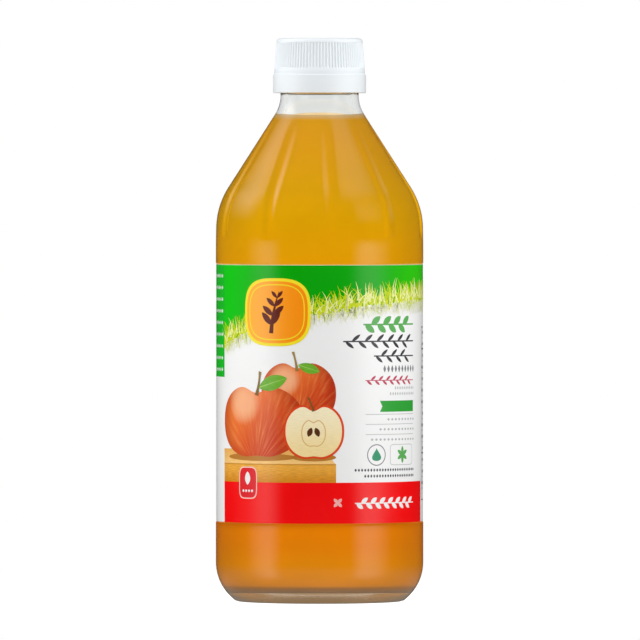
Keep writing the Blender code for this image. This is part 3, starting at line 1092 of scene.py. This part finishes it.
def build_fruit():
    """A whole fruit, a second one behind it and a cut half, with stalks and leaves."""
    back, front, half, core = mm(-7.5, 70.0), mm(-22.5, 60.8), mm(-2.0, 57.5), mm(-2.0, 57.0)
    for name, centre, size, layer in (
        ("label_fruit_back", back, mm(26.0, 22.0), 3),
        ("label_fruit_front", front, mm(34.5, 24.5), 4),
    ):
        fruit = put(cut_out(name, apple(*size), 72), centre)
        lay_on(fruit, layer, painted_skin(name + "_skin", centre, size[0] / 2))
    skin = cut_out("label_half_skin", apple(*mm(20.5, 19.0)), 72)
    lay_on(put(skin, half), 5, ink("half_skin_red", (0.74, 0.060, 0.010)))
    flesh = cut_out("label_half_flesh", apple(*mm(19.0, 17.6)), 72)
    flesh_ink = blended_ink("flesh", mm(48, 66), ((0.93, 0.72, 0.33), (0.97, 0.86, 0.58)), 0.05)
    lay_on(put(flesh, half), 6, flesh_ink)
    core_line = hollow(cut_out("label_core", apple(*mm(8.2, 9.4)), 48), 0.3 * MM)
    lay_on(put(core_line, core), 7, ink("core_tan", (0.72, 0.45, 0.14)))
    seed_places = [(*mm(-3.8, 55.8), 1.2, 1), (*mm(-0.2, 55.8), 1.94, 1)]
    seeds = stamp(cut_out("seed", leaf(*mm(3.2, 1.8)), 20), seed_places)
    lay_on(joined("label_seeds", seeds), 7, ink("seed_brown", (0.10, 0.03, 0.01)))

    stalk_places = [
        (*mm(-22.5, 69.4), -0.30, 8.0 * MM),
        (*mm(-7.5, 77.6), 0.10, 6.5 * MM),
        (*mm(-2.0, 64.2), 0.25, 5.0 * MM),
    ]
    stalk_ink = blended_ink("stalk_ink", mm(66, 84), ((0.20, 0.10, 0.02), (0.36, 0.24, 0.06)))
    stalks = stamp(stalk("fruit_stalk", -0.12), stalk_places)
    lay_on(joined("label_stalks", stalks), 8, stalk_ink)
    leaf_length, leaf_width, vein_length = mm(11.5, 5.2, 11)
    leaf_places = [(*mm(-21.5, 72.0), 0.30, 0.95), (*mm(-7.1, 79.6), -0.30, 0.65)]
    leaves = stamp(cut_out("fruit_leaf", leaf(leaf_length, leaf_width), 32), leaf_places)
    leaf_ink = blended_ink("leaf_green", mm(45, 82), ((0.10, 0.34, 0.02), (0.16, 0.44, 0.03)), 0.2)
    lay_on(joined("label_fruit_leaves", leaves), 7, leaf_ink)
    vein_places = [(x, z, turn - math.pi / 2, size * vein_length) for x, z, turn, size in leaf_places]
    veins = stamp(grass_blade("leaf_vein", 0.0, 0.014), vein_places)
    lay_on(joined("label_leaf_veins", veins), 8, ink("vein_green", (0.34, 0.60, 0.12)))


def branch(name, left, height, leaf_size, gap, slim, layer, material):
    """A straight sprig, up to the column's right edge: a thin stem with leaves on either side in turn."""
    stem_width, first_leaf, leaf_turn = 0.12 * leaf_size, 0.3, 0.65
    parts = [field(name, left, ROWS_RIGHT, height - stem_width / 2, height + stem_width / 2)]
    count = int((ROWS_RIGHT - left - leaf_size * 0.6) / gap)
    turns = [leaf_turn if i % 2 else -leaf_turn for i in range(count)]
    places = [(left + gap * (i + first_leaf), height, turn, 1) for i, turn in enumerate(turns)]
    parts += stamp(cut_out("branch_leaf", leaf(leaf_size, leaf_size * slim), 20), places)
    return lay_on(joined(name, parts), layer, material)


def dots(name, left, right, height, size, gap, layer, material):
    """A row of one small shape, a dot of the given width and height."""
    count = int((right - left) / gap) + 1
    places = [(right - gap * i, height, 0, 1) for i in range(count)]
    dot = cut_out(name, oval(*size, DOT_SQUARENESS), 12)
    return lay_on(joined(name, stamp(dot, places)), layer, material)


def rosette(name, centre, count, first_turn, petal, points, layer, material):
    """Petals round a middle."""
    turns = [math.radians(360 / count * i + first_turn) for i in range(count)]
    petals = stamp(cut_out("petal", leaf(*petal), points), [(*centre, turn, 1) for turn in turns])
    return lay_on(joined(name, petals), layer, material)


def build_column():
    """Rows of sprigs and dots, a bare ribbon, thin rules and two ornaments, right of the fruit."""
    right = ROWS_RIGHT
    leaf_green, crimson = ink("sprig_green", (0.11, 0.42, 0.10)), ink("crimson_ink", (0.55, 0.06, 0.12))
    dark, grey = ink("dark_grey_ink", (0.055, 0.055, 0.06)), ink("grey_ink", (0.22, 0.22, 0.23))
    pale = ink("pale_grey_ink", (0.48, 0.50, 0.49))
    branch("label_sprig_row_1", *mm(15.0, 93.0, 4.4, 2.35), 0.50, 1, leaf_green)
    branch("label_sprig_row_2", *mm(7.9, 87.4, 3.8, 2.3), 0.30, 1, dark)
    branch("label_sprig_row_3", *mm(19.0, 82.5, 3.6, 2.2), 0.30, 1, dark)
    dots("label_dot_row_1", 22.4 * MM, right, 78.2 * MM, mm(1.1, 2.4), 1.7 * MM, 1, grey)
    branch("label_sprig_row_4", *mm(15.8, 74.4, 2.5, 1.55), 0.34, 1, crimson)
    dots("label_dot_row_2", 28.0 * MM, right, 71.8 * MM, mm(0.7, 1.2), 1.15 * MM, 1, pale)
    dots("label_dot_row_3", 25.5 * MM, right, 69.9 * MM, mm(0.7, 1.2), 1.15 * MM, 1, pale)

    left, foot, top, notch = mm(21.4, 63.9, 67.6, 1.0)
    ribbon = field("label_ribbon", left, right, foot, top, 1, 2)
    for vertex in ribbon.data.vertices:
        if vertex.co.x < left + MM / 2 and foot + MM < vertex.co.z < top - MM:
            vertex.co.x += notch
    lay_on(ribbon, 1, ink("ribbon_green", (0.03, 0.36, 0.04)))
    for number, height in enumerate(mm(63.0, 59.7, 56.3)):
        rule = field(f"label_rule_{number + 1}", 15.9 * MM, right, height, height + 0.2 * MM)
        lay_on(rule, 1, pale)
        row, left, middle = f"label_tick_row_{number + 1}", (24 - 3 * number) * MM, height - 1.6 * MM
        dots(row, left, right, middle, mm(1.1, 0.9), 1.7 * MM, 1, pale)

    ring = hollow(cut_out("label_drop_ring", oval(*mm(7.4, 7.2)), 48), 0.35 * MM)
    lay_on(put(ring, mm(20.1, 49.6)), 1, grey)
    bead = cut_out("label_drop", drop(*mm(3.6, 4.4)), 32)
    lay_on(put(bead, mm(20.1, 49.8)), 1, ink("drop_green", (0.02, 0.30, 0.14)))
    frame_line = hollow(cut_out("label_rosette_frame", oval(*mm(12.2, 7.0), 9.0), 64), 0.2 * MM)
    lay_on(put(frame_line, mm(31.9, 49.6)), 1, pale)
    rosette("label_rosette", mm(31.9, 49.6), 6, 30, mm(2.9, 1.3), 20, 1, leaf_green)
    for number, height in enumerate(mm(44.6, 42.6)):
        row, left = f"label_fine_row_{number + 1}", (12 + 3 * number) * MM
        dots(row, left, right, height, mm(0.8, 1.1), 1.15 * MM, 1, dark)


def build_red_band():
    """A bare tag with a pale outline, a small rosette and a white sprig on the red band."""
    white = ink("white_ink", (0.86, 0.86, 0.86))
    place, squareness, half_row = mm(-26.4, 40.3), 4.5, 2 * MM
    left, right = place[0] - half_row, place[0] + half_row
    tag = cut_out("label_tag_edge", oval(*mm(8.2, 10.7), squareness), 64)
    lay_on(put(tag, place), 4, ink("tag_edge", (0.95, 0.62, 0.55)))
    inside = cut_out("label_tag", oval(*mm(7.5, 10.0), squareness), 64)
    lay_on(put(inside, place), 5, ink("tag_red", (0.74, 0.012, 0.02)))
    tag_leaf = cut_out("tag_leaf", leaf(*mm(4.4, 2.4)), 24)
    leaf_pieces = stamp(tag_leaf, [(place[0], 39.6 * MM, math.pi / 2, 1)])
    lay_on(joined("label_tag_leaf", leaf_pieces), 6, white)
    dots("label_tag_row", left, right, 37.6 * MM, mm(1.0, 1.0), 1.33 * MM, 6, white)
    pink = ink("pink_ink", (0.92, 0.45, 0.42))
    rosette("label_red_rosette", mm(6.1, 33.8), 4, 45, mm(1.9, 1.1), 16, 2, pink)
    branch("label_white_sprig", *mm(12, 33.6, 3.0, 1.75), 0.5, 2, white)


def build_side_panels():
    """Rows of small ornaments on the green side, and a table of rules and dots on the other."""
    white = ink("side_white_ink", (0.82, 0.86, 0.82))
    dark = ink("table_ink", (0.05, 0.05, 0.06))
    draw = random.Random(29)
    right = PANEL_LEFT - 1.8 * MM
    for number in range(9):
        name, height = f"label_side_row_{number + 1}", (109 - 3.9 * number) * MM
        left = right - (16 + draw.uniform(0, 22)) * MM
        dots(name, left, right, height, mm(1.0, 1.3), 1.6 * MM, 2, white)

    left, right, foot, top = mm(47.6, 84.0, 34.0, 92.0)
    frame_line = hollow(field("label_table_frame", left, right, foot, top), 0.3 * MM)
    lay_on(frame_line, 1, dark)
    rows, thick_rows, thick, thin = 15, (13, 4), 0.6 * MM, 0.15 * MM
    for number in range(1, rows):
        height = foot + (top - foot) * number / rows
        line_top = height + (thick if number in thick_rows else thin)
        rule = field(f"label_table_rule_{number}", left + MM, right - MM, height, line_top)
        lay_on(rule, 1, dark)
        name, length = f"label_table_row_{number}", draw.uniform(8, 17) * MM
        dots(name, left + MM, left + length, height + 1.9 * MM, mm(0.9, 1.3), 1.35 * MM, 1, dark)


# Pieces

def build_glass():
    first_flute = FLUTE_FROM_FRONT - math.pi / 2
    glass = turned("bottle_glass", glass_profile(), GLASS_STEPS, first_flute)
    press(glass, "flutes", FLUTE_DEPTH, flute_share)
    press(glass, "knurls", KNURL_DEPTH, knurl_share)
    bpy.ops.object.shade_smooth_by_angle(angle=math.radians(35))
    glass.data.materials.append(clear_glass())
    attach(glass, "root")
    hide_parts("glass_bottle")


def build_vinegar():
    vinegar = turned("vinegar_fill", vinegar_profile(), VINEGAR_STEPS)
    bpy.ops.object.shade_smooth_by_angle(angle=math.radians(50))
    vinegar.data.materials.append(cloudy_vinegar())
    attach(vinegar, "root")
    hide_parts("vinegar")


def build_closure():
    plastic = white_plastic()
    cap = turned("screw_cap", cap_profile(), CAP_STEPS)
    press(cap, "ribs", RIB_DEPTH, rib_share)
    bpy.ops.object.shade_smooth_by_angle(angle=math.radians(35))
    cap.data.materials.append(plastic)
    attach(cap, "root")
    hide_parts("cap")
    band = turned("tamper_ring", band_profile(), BAND_STEPS)
    bpy.ops.object.shade_smooth_by_angle(angle=math.radians(35))
    band.data.materials.append(plastic)
    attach(band, "root")
    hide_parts("tamper_band")


# Studio

def soft_light(name, azimuth, elevation, distance, size, radiance):
    """A soft light on the bottle. Azimuth 0 is the camera's side and 90 the +X side, in degrees.

    It lights surfaces only. What the glass and the film mirror comes from the studio's world.
    """
    turn, rise = math.radians(azimuth), math.radians(elevation)
    away = Vector((math.sin(turn) * math.cos(rise), -math.cos(turn) * math.cos(rise), math.sin(rise)))
    deselect()
    bpy.ops.object.light_add(type="AREA", location=away * distance + Vector((0, 0, CAP_TOP / 2)))
    light = take(name)
    light.data.shape = "RECTANGLE"
    light.data.size, light.data.size_y = size
    light.data.energy = radiance * size[0] * size[1] * math.pi
    light.rotation_euler = (-away).to_track_quat("-Z", "Y").to_euler()
    light.visible_camera = False
    light.visible_glossy = False
    light.visible_transmission = False


def mirrored_box(tree, row, azimuth, elevation, sides, ends, radiance):
    """The picture of one soft box in the world: a patch of directions with soft edges."""
    x, y = -200 + 10 * row, 800 - 400 * row
    low, high = sides
    start = add_step(tree, (x, y), azimuth, low[0], low[1])
    stop = add_step(tree, (x, y - 100), azimuth, high[1], high[0])
    foot = add_step(tree, (x, y - 200), elevation, ends[0], ends[1])
    top = add_step(tree, (x, y - 300), elevation, ends[3], ends[2])
    across = add_math(tree, "MULTIPLY", (x + 200, y - 100), start, stop)
    upright = add_math(tree, "MULTIPLY", (x + 200, y - 300), foot, top)
    patch = add_math(tree, "MULTIPLY", (x + 400, y - 200), across, upright)
    return add_math(tree, "MULTIPLY", (x + 600, y - 200), patch, radiance)


def world_angles(tree, direction):
    """The azimuth and the elevation of a direction, in degrees."""
    towards_camera = add_math(tree, "MULTIPLY", (-900, 100), direction["Y"], -1.0)
    turn = add_math(tree, "ARCTAN2", (-700, 100), direction["X"], towards_camera)
    rise = add_math(tree, "ARCSINE", (-700, -100), direction["Z"])
    return add_math(tree, "DEGREES", (-500, 100), turn), add_math(tree, "DEGREES", (-500, -100), rise)


def build_world():
    """White behind the bottle for the camera, dark in front, and the soft boxes that the glass mirrors."""
    world = bpy.data.worlds.new("studio")
    bpy.context.scene.world = world
    world.use_nodes = True
    world.cycles.sampling_method = "NONE"
    tree = world.node_tree
    point = add_node(tree, "ShaderNodeTexCoord", (-1300, 0)).outputs["Generated"]
    direction = add_split(tree, (-1100, 0), point)
    azimuth, elevation = world_angles(tree, direction)
    mirrored = DARK_ROOM
    for row, (sides, ends, radiance) in enumerate(MIRRORED_BOXES):
        box = mirrored_box(tree, row, azimuth, elevation, sides, ends, radiance)
        mirrored = add_math(tree, "ADD", (700, 600 - 400 * row), box, mirrored)
    path = add_node(tree, "ShaderNodeLightPath", (-700, -700)).outputs
    horizon, slope, depth = -0.5, -20, -70
    near_ground = add_step(tree, (300, -900), elevation, horizon, slope, 0.0, NEAR_GROUND)
    deep_ground = add_step(tree, (300, -1100), elevation, slope, depth, 0.0, DEEP_GROUND)
    ground = add_math(tree, "ADD", (500, -1000), near_ground, deep_ground)
    ground = add_math(tree, "MULTIPLY", (700, -1000), ground, path["Is Glossy Ray"])
    side, back = -0.2, 0.5
    behind = add_step(tree, (-700, -400), direction["Y"], side, back, 0.0, BACKDROP)
    through = add_math(tree, "MULTIPLY", (-400, -500), behind, path["Is Transmission Ray"])
    around = add_math(tree, "MULTIPLY", (-400, -700), path["Is Diffuse Ray"], ROOM_LIGHT)
    seen = add_math(tree, "ADD", (900, -900), mirrored, ground)
    for step, part in enumerate((through, around)):
        seen = add_math(tree, "ADD", (900 + 150 * step, -300), seen, part)
    colour = add_mix(tree, (1300, 0), path["Is Camera Ray"], seen, (1.0, 1.0, 1.0))
    feed(tree, tree.nodes["Background"], {"Color": colour})


def build_floor():
    """A white sweep that the camera sees as plain white, and that throws back little light."""
    near_tone, far_tone, near_reach, far_reach = 0.42, 0.03, 0.05, 0.22
    deselect()
    bpy.ops.mesh.primitive_circle_add(vertices=128, radius=FLOOR_RADIUS, fill_type="NGON")
    floor = take("floor")
    values = {"Roughness": 0.9, "Specular IOR Level": 0.0, "Emission Color": (1, 1, 1)}
    material, tree, shader = new_material("white_sweep", values)
    glow = add_node(tree, "ShaderNodeLightPath", (-400, -300)).outputs["Is Camera Ray"]
    point = object_point(tree, (-900, 0))
    reach = add_node(tree, "ShaderNodeVectorMath", (-700, 0), {0: point}, operation="LENGTH")
    far = add_step(tree, (-500, 0), reach.outputs["Value"], near_reach, far_reach)
    shade = add_mix(tree, (-300, 0), far, (near_tone,) * 3, (far_tone,) * 3)
    feed(tree, shader, {"Base Color": shade, "Emission Strength": glow})
    floor.data.materials.append(material)
    floor.visible_glossy = False


def build_studio():
    for light in SOFT_LIGHTS:
        soft_light(*light)
    build_world()
    build_floor()


def build_camera():
    deselect()
    bpy.ops.object.camera_add(location=CAMERA_PLACE)
    camera = take("photo_camera")
    camera.data.lens = CAMERA_LENS
    camera.data.sensor_width = CAMERA_SENSOR
    camera.data.clip_end = 20.0
    camera.rotation_euler = (CAMERA_AIM - CAMERA_PLACE).to_track_quat("-Z", "Y").to_euler()
    bpy.context.scene.camera = camera


def main():
    bpy.context.scene.view_settings.view_transform = "Standard"
    build_camera()
    build_studio()
    build_glass()
    build_vinegar()
    build_closure()
    build_film()
    build_fields()
    build_grass()
    build_plaque()
    build_board()
    build_fruit()
    build_column()
    build_red_band()
    build_side_panels()


main()
